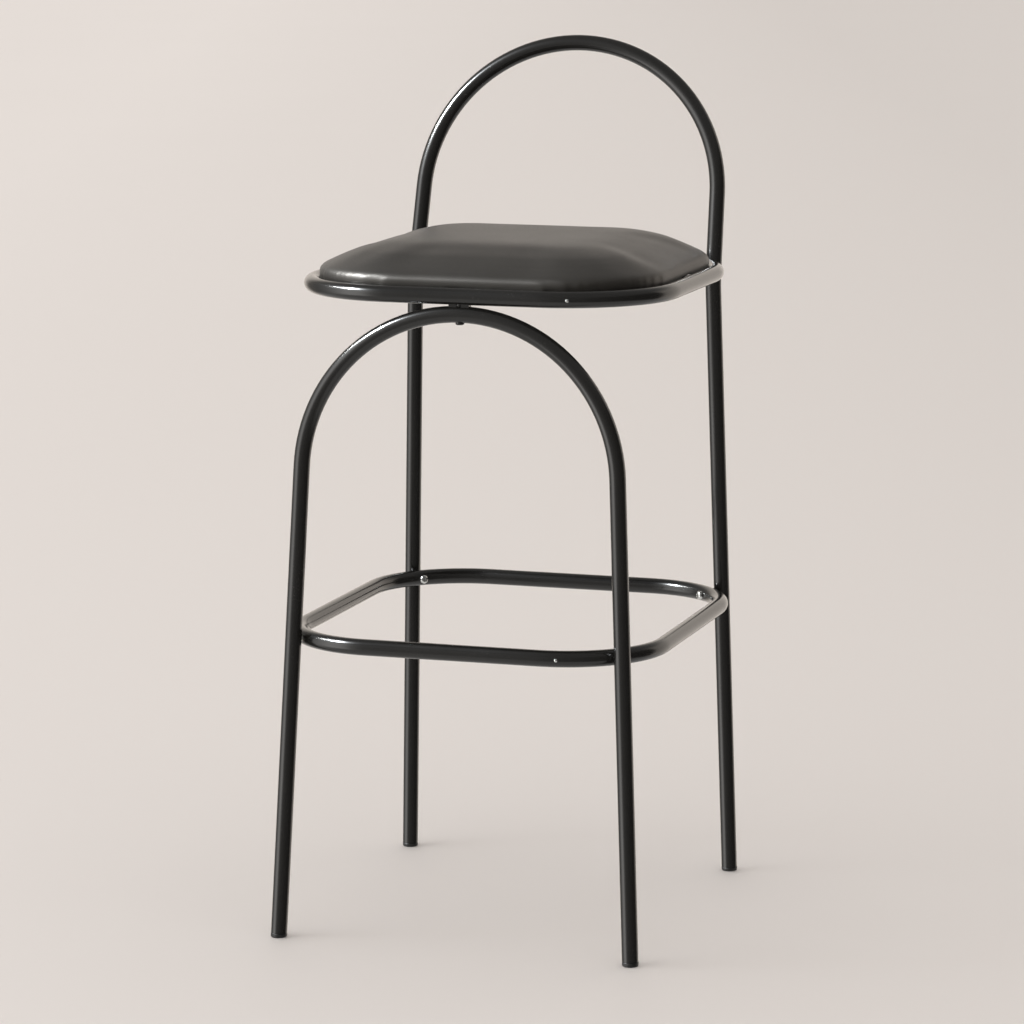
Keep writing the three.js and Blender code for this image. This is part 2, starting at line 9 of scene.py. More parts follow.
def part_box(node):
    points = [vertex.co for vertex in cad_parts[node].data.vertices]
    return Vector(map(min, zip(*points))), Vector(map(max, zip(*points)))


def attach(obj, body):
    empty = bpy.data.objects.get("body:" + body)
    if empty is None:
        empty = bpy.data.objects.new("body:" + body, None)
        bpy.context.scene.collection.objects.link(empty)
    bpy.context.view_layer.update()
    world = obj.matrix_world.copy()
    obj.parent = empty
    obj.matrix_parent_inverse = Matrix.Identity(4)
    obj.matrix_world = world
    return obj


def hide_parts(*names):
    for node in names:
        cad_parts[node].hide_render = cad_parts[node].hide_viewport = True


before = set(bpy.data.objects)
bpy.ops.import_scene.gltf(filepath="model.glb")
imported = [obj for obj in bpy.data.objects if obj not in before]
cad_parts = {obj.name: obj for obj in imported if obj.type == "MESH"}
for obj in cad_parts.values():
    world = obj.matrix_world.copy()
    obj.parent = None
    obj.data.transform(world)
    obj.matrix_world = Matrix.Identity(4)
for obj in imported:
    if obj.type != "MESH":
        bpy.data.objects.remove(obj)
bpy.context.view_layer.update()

# ---------------------------------------------------------------- sizes, in metres

TUBE_RADIUS = 0.0095
TUBE_WALL = 0.0015
SIDE_BY_SIDE = 0.0202  # centre to centre of two bolted tubes
GLIDE_SOLE = 0.005

FRONT_ARCH_RADIUS = 0.1875
FRONT_SPLAY = math.radians(2.5)
FRONT_RAKE = math.radians(2.5)

BACK_ARCH_RADIUS = 0.185
BACK_SPLAY = math.radians(1.5)
BACK_RAKE = math.radians(2.15)
BACKREST_LEAN = math.radians(14.5)
BACK_CROWN_HEIGHT = 1.0055
KNEE_HEIGHT = 0.73
KNEE_RADIUS = 0.1
HOOP_SPACING = 0.3995  # front crown to back knee

SEAT_RING_CORNER = 0.126
FOOT_RING_CORNER = 0.114

BOLT_RADIUS = 0.003
BOLT_LENGTH = 0.03
BOLT_HEAD_RADIUS = 0.00525
BOLT_HEAD_HEIGHT = 0.0033
BOLT_HEAD_GAP = 0.0008
BOLT_HOLE_RADIUS = 0.0034
THREAD_RADIUS = BOLT_RADIUS + 0.00015  # of the hole in a nut
SCREW_LENGTH = 0.014
SCREW_HEAD_RADIUS = 0.0055
SCREW_HEAD_HEIGHT = 0.003
SOCKET_RADIUS = 0.00231  # to the hexagon's points
SOCKET_DEPTH = 0.002
PAST = 0.001  # how far a cutter goes past the surface it starts from
RIVET_NUT_HOLE_RADIUS = 0.0046
TOUCH_GAP = 0.0003

VENT_OFFSET = 0.124  # from the ring's middle to its vent plug
VENT_HOLE_RADIUS = 0.0015

TUBE_SIDES = 40
ARCH_STEPS = 30
RING_CORNER_STEPS = 22
KNEE_STEPS = 10
SMALL_SIDES = 32
SMOOTH_ANGLE = math.radians(35)
CLOSE = 1e-6  # two heights that differ by less are the same

X_AXIS = Vector((1, 0, 0))
UP = Vector((0, 0, 1))
SIDES = (("right", 1), ("left", -1))


# ---------------------------------------------------------------- workbench


def deselect():
    if bpy.context.mode != "OBJECT":
        bpy.ops.object.mode_set(mode="OBJECT")
    bpy.ops.object.select_all(action="DESELECT")


def take(piece):
    """Makes a piece the only selected and the active one."""
    deselect()
    piece.select_set(True)
    bpy.context.view_layer.objects.active = piece


def started(name):
    """The primitive that was just added, named, with its place put into its mesh."""
    piece = bpy.context.object
    piece.name = name
    piece.data.name = name
    bpy.ops.object.transform_apply(location=True, rotation=True, scale=True)
    return piece


def clamped(value):
    return min(max(value, 0), 1)


def cylinder(name, radius, depth, sides=SMALL_SIDES, base=(0, 0, 0)):
    """A cylinder that stands on base."""
    deselect()
    centre = Vector(base) + UP * depth / 2
    bpy.ops.mesh.primitive_cylinder_add(vertices=sides, radius=radius, depth=depth, location=centre)
    return started(name)


def block(name, low, high):
    """A box between two corners."""
    deselect()
    low, high = Vector(low), Vector(high)
    bpy.ops.mesh.primitive_cube_add(size=1, location=(low + high) / 2, scale=high - low)
    return started(name)


def select_where(piece, kind, wanted):
    """Goes into edit mode and selects the verts, edges or faces that pass a test."""
    take(piece)
    bpy.ops.object.mode_set(mode="EDIT")
    bpy.ops.mesh.select_mode(type={"verts": "VERT", "edges": "EDGE", "faces": "FACE"}[kind])
    bpy.ops.mesh.select_all(action="DESELECT")
    mesh = bmesh.from_edit_mesh(piece.data)
    for element in getattr(mesh, kind):
        if wanted(element):
            element.select_set(True)
    mesh.select_flush_mode()
    bmesh.update_edit_mesh(piece.data)


def face_at(height):
    """A test for level faces at a height."""
    return lambda f: abs(f.calc_center_median().z - height) < CLOSE and abs(f.normal.z) > 0.9


def rim_at(height):
    """A test for the edges round a level face at a height."""
    return lambda e: all(abs(v.co.z - height) < CLOSE for v in e.verts)


def upright(edge):
    """A test for edges that stand straight up."""
    a, b = (v.co for v in edge.verts)
    return abs(a.z - b.z) > 0.99 * (a - b).length


def move_faces_up(distance):
    bpy.ops.mesh.extrude_region_move(TRANSFORM_OT_translate={"value": (0, 0, distance)})


def add_modifier(piece, kind, **settings):
    """Adds a modifier, sets it and applies it."""
    take(piece)
    bpy.ops.object.modifier_add(type=kind)
    modifier = piece.modifiers[-1]
    for name, value in settings.items():
        setattr(modifier, name, value)
    bpy.ops.object.modifier_apply(modifier=modifier.name)


def cut_away(piece, *cutters):
    """Cuts other pieces' shapes out of a piece, and uses them up."""
    for cutter in cutters:
        add_modifier(piece, "BOOLEAN", object=cutter, operation="DIFFERENCE", solver="EXACT")
        bpy.data.objects.remove(cutter)


def outward(piece, merge=1e-5):
    """Merges doubles and turns all faces outwards."""
    take(piece)
    bpy.ops.object.mode_set(mode="EDIT")
    bpy.ops.mesh.select_all(action="SELECT")
    bpy.ops.mesh.remove_doubles(threshold=merge)
    bpy.ops.mesh.normals_make_consistent(inside=False)
    bpy.ops.object.mode_set(mode="OBJECT")


def aim(piece, at, along):
    """Turns a piece made along +Z at the origin to lie along a direction, from a point."""
    take(piece)
    turn = UP.rotation_difference(Vector(along).normalized())
    piece.matrix_world = Matrix.Translation(at) @ turn.to_matrix().to_4x4()
    bpy.ops.object.transform_apply(location=True, rotation=True, scale=True)


def cut_level(piece, height):
    """Cuts away all that lies below a height, and closes the cut."""
    take(piece)
    bpy.ops.object.mode_set(mode="EDIT")
    bpy.ops.mesh.select_all(action="SELECT")
    bpy.ops.mesh.bisect(plane_co=(0, 0, height), plane_no=(0, 0, 1), use_fill=True, clear_inner=True)


def copy_of(piece, name):
    """A copy with its own mesh."""
    made = piece.copy()
    made.data = piece.data.copy()
    made.name = name
    made.data.name = name
    bpy.context.scene.collection.objects.link(made)
    return made


def turned(name, outline, sides=SMALL_SIDES):
    """A turned piece about +Z: a disc is extruded and scaled from one (radius, height) to the next."""
    (radius, height), *rest = outline
    deselect()
    at = (0, 0, height)
    bpy.ops.mesh.primitive_circle_add(vertices=sides, radius=radius, fill_type="NGON", location=at)
    piece = started(name)
    bpy.ops.object.mode_set(mode="EDIT")
    bpy.ops.mesh.select_all(action="SELECT")
    for next_radius, next_height in rest:
        move_faces_up(next_height - height)
        share = next_radius / radius
        bpy.ops.transform.resize(value=(share, share, 1), center_override=(0, 0, next_height))
        radius, height = next_radius, next_height
    outward(piece, merge=1e-6)
    return piece


def join(name, pieces):
    """Makes several pieces one."""
    take(pieces[0])
    for piece in pieces:
        piece.select_set(True)
    bpy.ops.object.join()
    made = bpy.context.object
    made.name = name
    made.data.name = name
    return made


def done(piece, finish, *nodes):
    """A finished piece: smooth, in its finish, riding on the stool and standing for its nodes."""
    material, slot = finish
    take(piece)
    bpy.ops.object.shade_smooth_by_angle(angle=SMOOTH_ANGLE)
    piece.data.materials.clear()
    piece.data.materials.append(material)
    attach(piece, "root")
    if nodes:
        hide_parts(*nodes)


# ---------------------------------------------------------------- shader workbench


class Wire:
    """An output socket that Python's operators work on; each one adds a Math node."""

    def __init__(self, finish, socket):
        self.finish = finish
        self.socket = socket

    def maths(self, operation, a, b):
        return self.finish.node("ShaderNodeMath", {"operation": operation}, {0: a, 1: b})

    def __add__(self, other):
        return self.maths("ADD", self, other)

    def __radd__(self, other):
        return self.maths("ADD", other, self)

    def __sub__(self, other):
        return self.maths("SUBTRACT", self, other)

    def __rsub__(self, other):
        return self.maths("SUBTRACT", other, self)

    def __mul__(self, other):
        return self.maths("MULTIPLY", self, other)

    def __rmul__(self, other):
        return self.maths("MULTIPLY", other, self)


class Finish:
    """A procedural material, whose nodes all come from one method."""

    def __init__(self, name):
        self.material = bpy.data.materials.new(name)
        self.material.use_nodes = True
        self.tree = self.material.node_tree
        self.tree.nodes.clear()
        self.place = self.node("ShaderNodeTexCoord", {}, {}, "Object")

    def node(self, kind, settings, inputs, output=0):
        """Adds a node: its settings first, then the values or wires of its sockets."""
        made = self.tree.nodes.new(kind)
        for name, value in settings.items():
            if name == "stops":
                self.set_stops(made.color_ramp, value)
            else:
                setattr(made, name, value)
        for name, value in inputs.items():
            if isinstance(value, Wire):
                self.tree.links.new(value.socket, made.inputs[name])
            else:
                made.inputs[name].default_value = value
        return Wire(self, made.outputs[output]) if made.outputs else made

    @staticmethod
    def set_stops(ramp, stops):
        """Sets a ramp's positions, each with a colour or a grey."""
        while len(ramp.elements) < len(stops):
            ramp.elements.new(0.5)
        for element, (position, shade) in zip(ramp.elements, stops):
            element.position = position
            element.color = (*shade, 1) if isinstance(shade, tuple) else (shade, shade, shade, 1)

    def axis(self, letter):
        """The place along X, Y or Z."""
        return self.node("ShaderNodeSeparateXYZ", {}, {"Vector": self.place}, letter)

    def noise(self, scale, detail=2, roughness=0.5, at=None, distortion=0):
        inputs = {"Vector": at or self.place, "Scale": scale, "Detail": detail, "Roughness": roughness}
        return self.node("ShaderNodeTexNoise", {}, {**inputs, "Distortion": distortion})

    def cells(self, scale, feature="F1", at=None, randomness=1.0, output=0):
        """Voronoi cells; the edge distance is 0 along the lines between cells."""
        inputs = {"Vector": at or self.place, "Scale": scale, "Randomness": randomness}
        return self.node("ShaderNodeTexVoronoi", {"feature": feature}, inputs, output)

    def stretched(self, x, y, z):
        """The place on the piece, scaled along each axis."""
        return self.node("ShaderNodeMapping", {}, {"Vector": self.place, "Scale": (x, y, z)})

    def ramp(self, value, *stops):
        """Turns a value into the shades of its (position, shade) stops."""
        return self.node("ShaderNodeValToRGB", {"stops": stops}, {"Fac": value})

    def blend(self, share, first, second):
        """Goes from the first colour to the second as share goes from 0 to 1."""
        first = first if isinstance(first, Wire) else (*first, 1)
        second = second if isinstance(second, Wire) else (*second, 1)
        return self.node("ShaderNodeMix", {"data_type": "RGBA"}, {0: share, 6: first, 7: second}, 2)

    def bump(self, height, depth, strength=1.0, under=None):
        inputs = {"Height": height, "Distance": depth, "Strength": strength}
        if under is not None:
            inputs["Normal"] = under
        return self.node("ShaderNodeBump", {}, inputs)

    def surface(self, inputs):
        """The shader itself; returns the finished material."""
        shader = self.node("ShaderNodeBsdfPrincipled", {}, inputs)
        self.node("ShaderNodeOutputMaterial", {}, {"Surface": shader})
        return self.material


# ---------------------------------------------------------------- finishes


def black_paint():
    """Smooth black powder coat: faint orange peel, and a little dust and handling in the gloss."""
    paint = Finish("black_powder_coat")
    cloudy = paint.noise(9, detail=3)
    speck = paint.noise(420, detail=2)
    dust = paint.ramp(speck, (0.62, 0), (0.74, 1)) * paint.ramp(cloudy, (0.45, 0), (0.65, 1))
    tone = paint.blend(cloudy, (0.0085, 0.0081, 0.0075), (0.0125, 0.012, 0.011))
    colour = paint.blend(dust * 0.25, tone, (0.07, 0.066, 0.06))
    rough = 0.17 + cloudy * 0.07 + dust * 0.08
    peel = paint.bump(paint.noise(650, detail=1), 0.00003, 0.35)
    return paint.surface({
        "Base Color": colour, "Roughness": rough, "Normal": peel, "IOR": 1.5,
        "Coat Weight": 0.25, "Coat Roughness": 0.08,
    })


def polished_steel():
    steel = Finish("polished_steel")
    cloudy = steel.noise(700, detail=3)
    turning = steel.noise(1, detail=2, at=steel.stretched(2500, 2500, 60))
    colour = steel.blend(cloudy, (0.82, 0.82, 0.8), (0.7, 0.7, 0.69))
    return steel.surface({
        "Base Color": colour, "Metallic": 1, "Roughness": 0.14 + cloudy * 0.14,
        "Normal": steel.bump(turning, 0.00002, 0.4),
    })


def zinc_plate():
    zinc = Finish("zinc_plate")
    spangle = zinc.cells(900, output=1)
    patch = zinc.noise(220, detail=3)
    tone = zinc.blend(patch, (0.66, 0.66, 0.64), (0.5, 0.5, 0.47))
    colour = zinc.blend(0.12, tone, spangle)
    return zinc.surface({
        "Base Color": colour, "Metallic": 1, "Roughness": 0.28 + patch * 0.2,
        "Normal": zinc.bump(patch, 0.00003, 0.5),
    })


def moulded_nylon():
    nylon = Finish("moulded_nylon")
    grain = nylon.noise(1400, detail=3)
    scuff = nylon.ramp(nylon.noise(260, detail=4), (0.5, 0), (0.75, 1))
    colour = nylon.blend(scuff * 0.6, (0.008, 0.008, 0.008), (0.035, 0.034, 0.032))
    return nylon.surface({
        "Base Color": colour, "Roughness": 0.42 + scuff * 0.2, "Normal": nylon.bump(grain, 0.00005, 0.4),
    })


def dark_leather():
    """Leatherette: fine pebbles with creases between them, darkened with painted shade, soft pulls, and a
    slightly polished top.
    """
    leather = Finish("dark_leather")
    wander = leather.noise(300, detail=2)
    pebble = leather.cells(620, "DISTANCE_TO_EDGE")
    crease = leather.ramp(pebble, (0.0, 0), (0.22, 1))
    pore = leather.ramp(leather.cells(2100), (0.12, 0), (0.3, 1))
    tone = leather.noise(14, detail=4, roughness=0.6)
    base = leather.blend(tone, (0.0175, 0.0158, 0.0138), (0.024, 0.0218, 0.0192))
    # painted shade: the creases between the pebbles are darkened in the colour
    colour = leather.blend((1 - crease) * 0.35, base, (0.009, 0.0082, 0.0074))
    rough = 0.36 + tone * 0.08 + (1 - crease) * 0.1
    pulls = leather.bump(leather.noise(22, detail=2), 0.0009, 0.25)
    height = crease * 0.6 + pore * 0.15 + wander * 0.35
    return leather.surface({
        "Base Color": colour, "Roughness": rough, "Normal": leather.bump(height, 0.00012, 0.5, pulls),
        "Sheen Weight": 0.04, "Sheen Roughness": 0.5, "Specular Tint": (1, 0.95, 0.88, 1),
    })


def seat_foam():
    foam = Finish("open_cell_foam")
    cell = foam.cells(1100, "DISTANCE_TO_EDGE")
    open_cell = foam.ramp(cell, (0.0, 1), (0.25, 0))
    yellowing = foam.noise(18, detail=3)
    colour = foam.blend(yellowing, (0.74, 0.68, 0.5), (0.66, 0.57, 0.36))
    # painted shade: the hollows inside the open cells are darkened in the colour
    colour = foam.blend((1 - open_cell) * 0.35, colour, (0.4, 0.34, 0.2))
    return foam.surface({
        "Base Color": colour, "Roughness": 0.95, "Normal": foam.bump(open_cell, 0.0003, 0.8),
    })


def birch_ply():
    """Birch plywood: long grain on the faces, plies of turning grain at the edges."""
    ply = Finish("birch_ply")
    sheets = {"Vector": ply.place, "Scale": 68, "Distortion": 0.3}
    layer = ply.node("ShaderNodeTexWave", {"bands_direction": "Z"}, sheets)
    grain = ply.noise(1, detail=5, roughness=0.65, at=ply.stretched(14, 380, 380), distortion=0.6)
    ring = ply.noise(1, detail=2, at=ply.stretched(2.2, 38, 38), distortion=1.6)
    face = ply.blend(grain, (0.62, 0.43, 0.25), (0.45, 0.28, 0.14))
    face = ply.blend(ring * 0.5, face, (0.52, 0.33, 0.17))
    colour = ply.blend(ply.ramp(layer, (0.45, 0), (0.6, 1)) * 0.3, face, (0.3, 0.17, 0.08))
    return ply.surface({
        "Base Color": colour, "Roughness": 0.55 + grain * 0.2, "Normal": ply.bump(grain, 0.0002, 0.5),
    })


def spunbond_cloth():
    """Black spun dust cloth: matted fibres, pressed with rows of small dots."""
    cloth = Finish("spunbond_cloth")
    fibres = cloth.noise(900, detail=4, roughness=0.7, distortion=1.2)
    rows = cloth.cells(1, at=cloth.stretched(480, 480, 0), randomness=0.0)
    dots = cloth.ramp(rows, (0.22, 0), (0.32, 1))
    colour = cloth.blend(fibres, (0.007, 0.007, 0.0075), (0.026, 0.026, 0.027))
    height = fibres * 0.6 + dots * 0.5
    return cloth.surface({
        "Base Color": colour, "Roughness": 0.8 + dots * 0.12, "Normal": cloth.bump(height, 0.00015, 0.6),
    })


# Each finish with the slot that it stands for.
PAINT = (black_paint(), "frame_paint")
STEEL = (polished_steel(), "bright_steel")
ZINC = (zinc_plate(), "zinc_steel")
NYLON = (moulded_nylon(), "glide_plastic")
LEATHER = (dark_leather(), "seat_leather")
FOAM = (seat_foam(), "foam")
PLY = (birch_ply(), "plywood")
DUST_CLOTH = (spunbond_cloth(), "dust_cloth")

# ---------------------------------------------------------------- tubes


class HalfTube:
    """The +X half of a tube: a circle carried along straights and spun round bends."""

    def __init__(self, name, start):
        self.at = Vector(start)
        self.heading = X_AXIS.copy()
        deselect()
        facing_x = (0, math.pi / 2, 0)
        bpy.ops.mesh.primitive_circle_add(
            vertices=TUBE_SIDES, radius=TUBE_RADIUS, rotation=facing_x, location=start)
        self.piece = started(name)
        bpy.ops.object.mode_set(mode="EDIT")
        bpy.ops.mesh.select_all(action="SELECT")

    def straight(self, length, longest=0.03):
        steps = math.ceil(length / longest)
        for _ in range(steps):
            step = self.heading * (length / steps)
            bpy.ops.mesh.extrude_region_move(TRANSFORM_OT_translate={"value": step})
            self.at += step
        return self

    def bend(self, axis, angle, radius, steps):
        centre = self.at + axis.cross(self.heading) * radius
        bpy.ops.mesh.spin(steps=steps, angle=-angle, center=centre, axis=axis)
        turn = Matrix.Rotation(angle, 3, axis)
        self.at = centre + turn @ (self.at - centre)
        self.heading = turn @ self.heading
        return self

    def corner(self, point, heading, radius, steps):
        """Straight towards a corner point, then round it onto a new heading."""
        axis = self.heading.cross(heading).normalized()
        angle = self.heading.angle(heading)
        setback = radius * math.tan(angle / 2)
        return self.straight((point - self.at).length - setback).bend(axis, angle, radius, steps)

    def down_to(self, height):
        """Straight on down to a height."""
        return self.straight((self.at.z - height) / -self.heading.z)

    def finished(self):
        """Mirrored to the other half, and given its wall."""
        bpy.ops.object.mode_set(mode="OBJECT")
        across = (True, False, False)
        add_modifier(self.piece, "MIRROR", use_axis=across, use_mirror_merge=True, merge_threshold=1e-5)
        outward(self.piece)
        add_modifier(self.piece, "SOLIDIFY", thickness=TUBE_WALL, offset=-1)
        return self.piece


def leg_heading(splay, tip):
    """The way down a +X leg, in a plane that tips towards +Y by tip."""
    return Vector((math.tan(splay), math.sin(tip), -math.cos(tip))).normalized()


def half_arch(name, crown, splay, tip, radius):
    """From a hoop's crown round its arch, to where its straight leg starts."""
    axis = X_AXIS.cross(leg_heading(0, tip)).normalized()
    return HalfTube(name, crown).bend(axis, math.pi / 2 - splay, radius, ARCH_STEPS)


def ring_frame(node):
    """A ring's height, and its centreline's half width, front and back."""
    low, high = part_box(node)
    return (low.z + high.z) / 2, (high.x - low.x) / 2 - TUBE_RADIUS, low.y + TUBE_RADIUS, high.y - TUBE_RADIUS


def ring_tube(node, corner):
    """A closed ring: along its front, round its +X side and back to the middle, then mirrored."""
    height, half_width, front, back = ring_frame(node)
    tube = HalfTube(node + "_tube", (0, front, height)).straight(half_width - corner)
    tube.bend(UP, math.pi / 2, corner, RING_CORNER_STEPS).straight(back - front - 2 * corner)
    tube.bend(UP, math.pi / 2, corner, RING_CORNER_STEPS).straight(half_width - corner)
    return tube.finished()


seat_height, _, seat_front, _ = ring_frame("seat_ring")
foot_height, *_ = ring_frame("foot_ring")

front_crown = Vector((0, seat_front, seat_height - SIDE_BY_SIDE))
front = half_arch("front_leg_hoop_tube", front_crown, FRONT_SPLAY, -FRONT_RAKE, FRONT_ARCH_RADIUS)
front.down_to(GLIDE_SOLE)
front_foot, front_down = front.at.copy(), front.heading.copy()
front_hoop = front.finished()

crown_drop = BACK_CROWN_HEIGHT - KNEE_HEIGHT
back_crown = Vector((0, seat_front + HOOP_SPACING + crown_drop * math.tan(BACKREST_LEAN), BACK_CROWN_HEIGHT))
back = half_arch("back_leg_hoop_tube", back_crown, BACK_SPLAY, -BACKREST_LEAN, BACK_ARCH_RADIUS)
knee = back.at + back.heading * ((back.at.z - KNEE_HEIGHT) / -back.heading.z)
backrest_down = back.heading.copy()
back.corner(knee, leg_heading(BACK_SPLAY, BACK_RAKE), KNEE_RADIUS, KNEE_STEPS)
back.down_to(GLIDE_SOLE)
back_foot, back_down = back.at.copy(), back.heading.copy()
back_hoop = back.finished()

seat_ring = ring_tube("seat_ring", SEAT_RING_CORNER)
foot_ring = ring_tube("foot_ring", FOOT_RING_CORNER)

# ---------------------------------------------------------------- bolted joints


def at_height(point, heading, height):
    """Where a straight line passes a height."""
    return point + heading * ((height - point.z) / heading.z)


def to_side(point, sign):
    """A +X point or direction, on the side that sign says."""
    return Vector((sign * point.x, point.y, point.z))


def corner_joints(label, leg, down, node, corner, side):
    """The bolts from a ring's two corners into the legs outside them: name, start and direction."""
    centre_x = ring_frame(node)[1] - corner
    away = Vector(((leg.x - centre_x) / (corner + SIDE_BY_SIDE), 0, 0))
    away.y = side * math.sqrt(1 - away.x**2)
    start = leg - away * SIDE_BY_SIDE
    square = (away + UP * (away.dot(down) / -down.z)).normalized()
    return [(f"{label}_{name}", to_side(start, sign), to_side(square, sign)) for name, sign in SIDES]


front_leg = at_height(front_foot, front_down, foot_height)
back_leg = at_height(back_foot, back_down, foot_height)
seat_leg = at_height(knee, backrest_down, seat_height)
foot_front_joints = corner_joints("foot_ring_front", front_leg, front_down, "foot_ring", FOOT_RING_CORNER, -1)
foot_back_joints = corner_joints("foot_ring_back", back_leg, back_down, "foot_ring", FOOT_RING_CORNER, 1)
seat_back_joints = corner_joints("seat_ring_back", seat_leg, backrest_down, "seat_ring", SEAT_RING_CORNER, 1)
crown_joint = ("front_crown", front_crown, UP)

# The tube that each bolt passes through, and the one that its rivet nut is in.
JOINTS = [
    *((joint, foot_ring, front_hoop) for joint in foot_front_joints),
    *((joint, foot_ring, back_hoop) for joint in foot_back_joints),
    *((joint, seat_ring, back_hoop) for joint in seat_back_joints),
    (crown_joint, front_hoop, seat_ring),
]


def drill(at, along, radius, length, back=0.0):
    """A cutter from a point along a direction, and back the other way."""
    bit = cylinder("drill", radius, length + back, sides=24, base=(0, 0, -back))
    aim(bit, at, along)
    return bit


def socket_screw(name, length, head_radius, head_height):
    """A domed head with a hexagon socket, and its shank along +Z from the head's underside."""
    dome = [(0.5, 1.0), (0.66, 0.94), (0.8, 0.8), (0.9, 0.6), (0.97, 0.34), (1.0, 0.12), (0.985, 0.0)]
    head = [(head_radius * r, -head_height * h) for r, h in dome]
    chamfer = 0.0006  # round the shank's end
    shank = [(BOLT_RADIUS, 0), (BOLT_RADIUS, length - chamfer), (BOLT_RADIUS - chamfer, length)]
    screw = turned(name, head + shank)
    start = (0, 0, -head_height - PAST)
    cut_away(screw, cylinder("socket", SOCKET_RADIUS, SOCKET_DEPTH + PAST, sides=6, base=start))
    return screw


def rivet_nut():
    """A blind rivet nut: a thin flange outside the wall and a bulged collar behind it."""
    flange = [(0.0049, 0), (0.005, 0.0001), (0.005, 0.0005), (0.0044, 0.0005)]
    collar = [(0.0044, 0.0068), (0.0051, 0.0072), (0.0053, 0.0082), (0.0051, 0.0092), (0.0044, 0.0096)]
    nut = turned("rivet_nut", [*flange, *collar, (0.0044, 0.012)])
    cut_away(nut, cylinder("thread", THREAD_RADIUS, 0.02, base=(0, 0, -0.004)))
    return nut


def saddle(at, along, tube):
    """A washer whose underside is hollowed to sit on the tube under a bolt's flat head."""
    washer = turned("saddle", [(0.0047, 0), (0.0049, 0.0002), (0.0049, BOLT_HEAD_GAP + 0.0013)])
    cut_away(washer, cylinder("hole", BOLT_HOLE_RADIUS, 0.01, base=(0, 0, -0.003)))
    aim(washer, at - along * (TUBE_RADIUS + BOLT_HEAD_GAP - 0.00005), along)
    cut_away(washer, copy_of(tube, "seat"))
    return washer


def crown_spacer():
    """Two pads between the front crown and the seat ring, hollowed to both tubes, beside the nut's flange."""
    into_tube = 0.0083  # from a tube's centreline; the hollow takes away what is inside the tube
    low, high = front_crown + UP * into_tube, front_crown + UP * (SIDE_BY_SIDE - into_tube)
    out = Vector((0.012, 0.0046, 0))
    spacer = block("front_crown_spacer", low - out, high + out)
    cut_away(spacer, copy_of(front_hoop, "below"), copy_of(seat_ring, "above"))
    flange_gap = 0.0053  # radius
    cut_away(spacer, drill(front_crown, UP, flange_gap, SIDE_BY_SIDE))
    return spacer


crown_pads = crown_spacer()
bolt = socket_screw("bolt", BOLT_LENGTH, BOLT_HEAD_RADIUS, BOLT_HEAD_HEIGHT)
low_bolt = socket_screw("low_bolt", BOLT_LENGTH, BOLT_HEAD_RADIUS, BOLT_HEAD_HEIGHT / 2)
nut = rivet_nut()
saddles = []
both_walls = TUBE_RADIUS * 1.4
for (label, at, along), through, into in JOINTS:
    at_crown = label == "front_crown"  # there the bolt is low; it and its nut get the frame's black paint, which stands in for the shade in the contact under the ring
    made = copy_of(low_bolt if at_crown else bolt, label + "_button_bolt")
    aim(made, at - along * (TUBE_RADIUS + BOLT_HEAD_GAP), along)
    done(made, PAINT if at_crown else STEEL, label + "_bolt")
    made = copy_of(nut, label + "_insert")
    aim(made, at + along * (TUBE_RADIUS + TOUCH_GAP), along)
    done(made, PAINT if at_crown else ZINC, label + "_rivet_nut")
    washer = saddle(at, along, through)
    if at_crown:
        done(join("front_crown_spacers", [crown_pads, washer]), PAINT)
    else:
        saddles.append(washer)
    cut_away(through, drill(at, along, BOLT_HOLE_RADIUS, both_walls, back=both_walls))
    cut_away(into, drill(at, along, RIVET_NUT_HOLE_RADIUS, SIDE_BY_SIDE))
done(join("bolt_saddle_washers", saddles), STEEL)
for pattern in (bolt, low_bolt, nut):
    bpy.data.objects.remove(pattern)

# ---------------------------------------------------------------- vent plugs


def vent_plug(node, corner, tube):
    """A small domed plug just inside the bend on a ring's front, and its hole."""
    height, half_width, front_y, _ = ring_frame(node)
    centre = Vector((half_width - corner, front_y + corner, height))
    turn = math.asin((VENT_OFFSET - centre.x) / corner)
    along = Vector((math.sin(turn), -math.cos(turn), 0))
    at = centre + along * corner
    cut_away(tube, drill(at, along, VENT_HOLE_RADIUS, 2 * TUBE_RADIUS))
    stem = [(0.0011, -0.0035), (0.0013, -0.003), (0.0013, 0)]
    flange = [(0.0019, 0), (0.002, 0.0002)]
    dome = [(math.cos(a) * 0.002, 0.0004 + math.sin(a) * 0.0009) for a in (0, 0.4, 0.8, 1.2, 1.45)]
    plug = turned(node + "_vent_button", stem + flange + dome)
    aim(plug, at + along * TUBE_RADIUS, along)
    done(plug, STEEL, node + "_vent_plug")


vent_plug("seat_ring", SEAT_RING_CORNER, seat_ring)
vent_plug("foot_ring", FOOT_RING_CORNER, foot_ring)

done(front_hoop, PAINT, "front_leg_hoop")
done(back_hoop, PAINT, "back_leg_hoop")
done(seat_ring, PAINT, "seat_ring")
done(foot_ring, PAINT, "foot_ring")

# ---------------------------------------------------------------- glides


def glide(label, foot, down, sign):
    """A ribbed stem up the tube's end, and a sole trimmed level with the floor."""
    stem = 0.0068
    outline = [(stem - 0.001, -0.018), (stem, -0.017)]
    for rib in (-0.013, -0.009, -0.005):
        outline += [(stem, rib - 0.001), (stem + 0.0005, rib), (stem, rib + 0.0002)]
    outline += [(stem, TOUCH_GAP), (TUBE_RADIUS - 0.0003, TOUCH_GAP), (TUBE_RADIUS, 0.0006)]
    outline.append((TUBE_RADIUS, 0.02))
    made = turned(f"glide_{label}_foot", outline, sides=TUBE_SIDES)
    aim(made, to_side(foot, sign), to_side(down, sign))
    cut_level(made, 0)
    select_where(made, "edges", rim_at(0))
    bpy.ops.mesh.bevel(offset=0.0016, segments=5, affect="EDGES")
    outward(made)
    done(made, NYLON, "glide_" + label)


